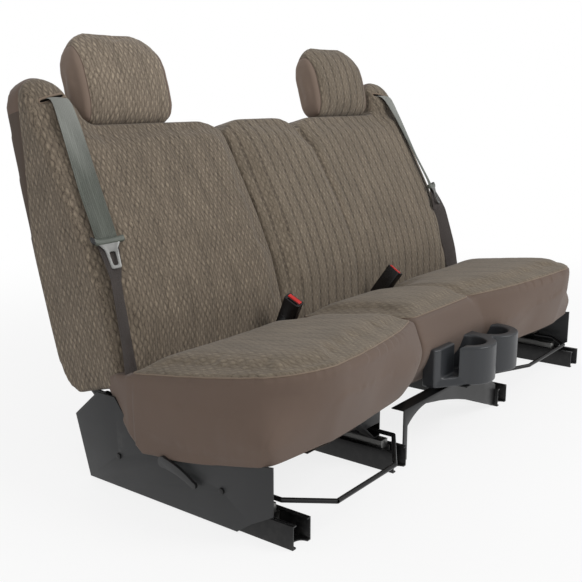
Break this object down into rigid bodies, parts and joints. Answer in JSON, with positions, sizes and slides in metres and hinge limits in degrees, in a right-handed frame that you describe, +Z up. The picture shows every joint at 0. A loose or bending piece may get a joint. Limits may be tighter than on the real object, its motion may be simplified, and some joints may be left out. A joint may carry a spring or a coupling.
{
  "type": "seat cover set",
  "caption": "Fitted fabric cover set on a split truck bench seat with sliding tracks, reclining backs, headrests, shoulder belts, buckles and a cup holder.",
  "frame": {"origin": "centre of the outer floor bolts, on the floor plane under the tracks", "axes": "+X to the occupant's left along the bench, +Y to the rear, +Z up"},
  "size_m": [1.53, 0.843, 0.9701],
  "materials": {
    "tweed": "ribbed taupe tweed cover cloth",
    "plain_cloth": "plain brown backing cloth",
    "foam": "moulded seat foam",
    "strap_web": "black strap webbing",
    "belt_web": "grey-green belt webbing",
    "shield_plastic": "grained black moulding",
    "trim_plastic": "fine-grained black moulding",
    "cup_plastic": "dark blue-grey moulding",
    "buckle_plastic": "black buckle case",
    "button_plastic": "red release button",
    "track_steel": "black coated pressed steel",
    "black_steel": "satin black coated steel",
    "rail_steel": "bare zinc-plated steel",
    "post_chrome": "bright plated rod",
    "tongue_steel": "bright steel with a moulded grip"
  },
  "bodies": {
    "floor_tracks": {"lower_tracks": "track_steel", "track_bridge": "track_steel"},
    "right_seat": {"right_upper_tracks": "rail_steel", "right_seat_pan": "black_steel", "right_cushion_foam": "foam", "right_cushion_cover": "tweed", "right_cushion_skirt": "tweed", "right_cover_straps": "strap_web", "right_side_shield": "shield_plastic", "right_shield_screws": "black_steel", "right_recliner_brackets": "black_steel"},
    "right_back": {"right_back_frame": "black_steel", "right_back_foam": "foam", "right_back_cover": "tweed", "right_back_rear_panel": "plain_cloth", "right_headrest_guides": "trim_plastic", "right_belt_webbing": "belt_web", "right_belt_bezel": "trim_plastic", "right_belt_retractor": "rail_steel", "right_belt_anchor": "black_steel"},
    "right_headrest": {"right_headrest_posts": "post_chrome", "right_headrest_foam": "foam", "right_headrest_cover": "tweed", "right_headrest_side_panels": "plain_cloth"},
    "right_lever": {"right_recline_lever": "trim_plastic"},
    "right_bar": {"right_adjuster_bar": "black_steel"},
    "right_buckle": {"right_buckle_stalk": "black_steel", "right_buckle_housing": "buckle_plastic"},
    "right_button": {"right_buckle_button": "button_plastic"},
    "right_tongue": {"right_belt_tongue": "tongue_steel"},
    "left_seat": {"left_upper_tracks": "rail_steel", "left_seat_pan": "black_steel", "left_cushion_foam": "foam", "left_cushion_cover": "tweed", "left_cushion_skirt": "tweed", "left_cover_straps": "strap_web", "left_side_shield": "shield_plastic", "left_shield_screws": "black_steel", "left_recliner_brackets": "black_steel", "cup_holder": "cup_plastic", "cup_holder_bracket": "black_steel"},
    "left_back": {"left_back_frame": "black_steel", "left_back_foam": "foam", "left_back_cover": "tweed", "left_back_rear_panel": "plain_cloth", "left_headrest_guides": "trim_plastic", "left_belt_webbing": "belt_web", "left_belt_bezel": "trim_plastic", "left_belt_retractor": "rail_steel", "left_belt_anchor": "black_steel"},
    "left_headrest": {"left_headrest_posts": "post_chrome", "left_headrest_foam": "foam", "left_headrest_cover": "tweed", "left_headrest_side_panels": "plain_cloth"},
    "left_lever": {"left_recline_lever": "trim_plastic"},
    "left_bar": {"left_adjuster_bar": "black_steel"},
    "left_buckle": {"left_buckle_stalk": "black_steel", "left_buckle_housing": "buckle_plastic"},
    "left_button": {"left_buckle_button": "button_plastic"},
    "left_tongue": {"left_belt_tongue": "tongue_steel"}
  },
  "joints": [
    {"name": "right_slide", "type": "slide", "parent": "floor_tracks", "child": "right_seat", "axis": [0, 1, 0], "range_m": [-0.12, 0.06]},
    {"name": "right_recline", "type": "hinge", "parent": "right_seat", "child": "right_back", "pos_m": [-0.45, 0.235, 0.18], "axis": [1, 0, 0], "range_deg": [-20, 10]},
    {"name": "right_headrest_lift", "type": "slide", "parent": "right_back", "child": "right_headrest", "axis": [0, 0.2723, 0.9622], "range_m": [0, 0.06]},
    {"name": "right_lever_pull", "type": "hinge", "parent": "right_seat", "child": "right_lever", "pos_m": [-0.755, 0.035, 0.104], "axis": [1, 0, 0], "range_deg": [-25, 0], "stiffness_Nm_per_rad": 0.6, "springref_deg": 11.46},
    {"name": "right_bar_lift", "type": "hinge", "parent": "right_seat", "child": "right_bar", "pos_m": [-0.5, -0.15, 0.078], "axis": [1, 0, 0], "range_deg": [-8, 0], "stiffness_Nm_per_rad": 3, "springref_deg": 5.73},
    {"name": "right_buckle_swing", "type": "hinge", "parent": "right_seat", "child": "right_buckle", "pos_m": [-0.23, 0.142, 0.168], "axis": [1, 0, 0], "range_deg": [-1, 6]},
    {"name": "right_button_press", "type": "slide", "parent": "right_buckle", "child": "right_button", "axis": [0.2387, 0.5, -0.8325], "range_m": [0, 0.004], "stiffness_N_per_m": 300, "springref_m": -0.003},
    {"name": "right_tongue_slide", "type": "slide", "parent": "right_back", "child": "right_tongue", "axis": [0.088, 0.4823, 0.8716], "range_m": [0, 0.2]},
    {"name": "left_slide", "type": "slide", "parent": "floor_tracks", "child": "left_seat", "axis": [0, 1, 0], "range_m": [-0.12, 0.06]},
    {"name": "left_recline", "type": "hinge", "parent": "left_seat", "child": "left_back", "pos_m": [0.45, 0.235, 0.18], "axis": [1, 0, 0], "range_deg": [-20, 10]},
    {"name": "left_headrest_lift", "type": "slide", "parent": "left_back", "child": "left_headrest", "axis": [0, 0.2723, 0.9622], "range_m": [0, 0.06]},
    {"name": "left_lever_pull", "type": "hinge", "parent": "left_seat", "child": "left_lever", "pos_m": [0.755, 0.035, 0.104], "axis": [1, 0, 0], "range_deg": [-25, 0], "stiffness_Nm_per_rad": 0.6, "springref_deg": 11.46},
    {"name": "left_bar_lift", "type": "hinge", "parent": "left_seat", "child": "left_bar", "pos_m": [0.5, -0.15, 0.078], "axis": [1, 0, 0], "range_deg": [-8, 0], "stiffness_Nm_per_rad": 3, "springref_deg": 5.73},
    {"name": "left_buckle_swing", "type": "hinge", "parent": "left_seat", "child": "left_buckle", "pos_m": [0.208, 0.142, 0.168], "axis": [1, 0, 0], "range_deg": [-1, 6]},
    {"name": "left_button_press", "type": "slide", "parent": "left_buckle", "child": "left_button", "axis": [-0.2387, 0.5, -0.8325], "range_m": [0, 0.004], "stiffness_N_per_m": 300, "springref_m": -0.003},
    {"name": "left_tongue_slide", "type": "slide", "parent": "left_back", "child": "left_tongue", "axis": [-0.088, 0.4823, 0.8716], "range_m": [0, 0.2]}
  ]
}
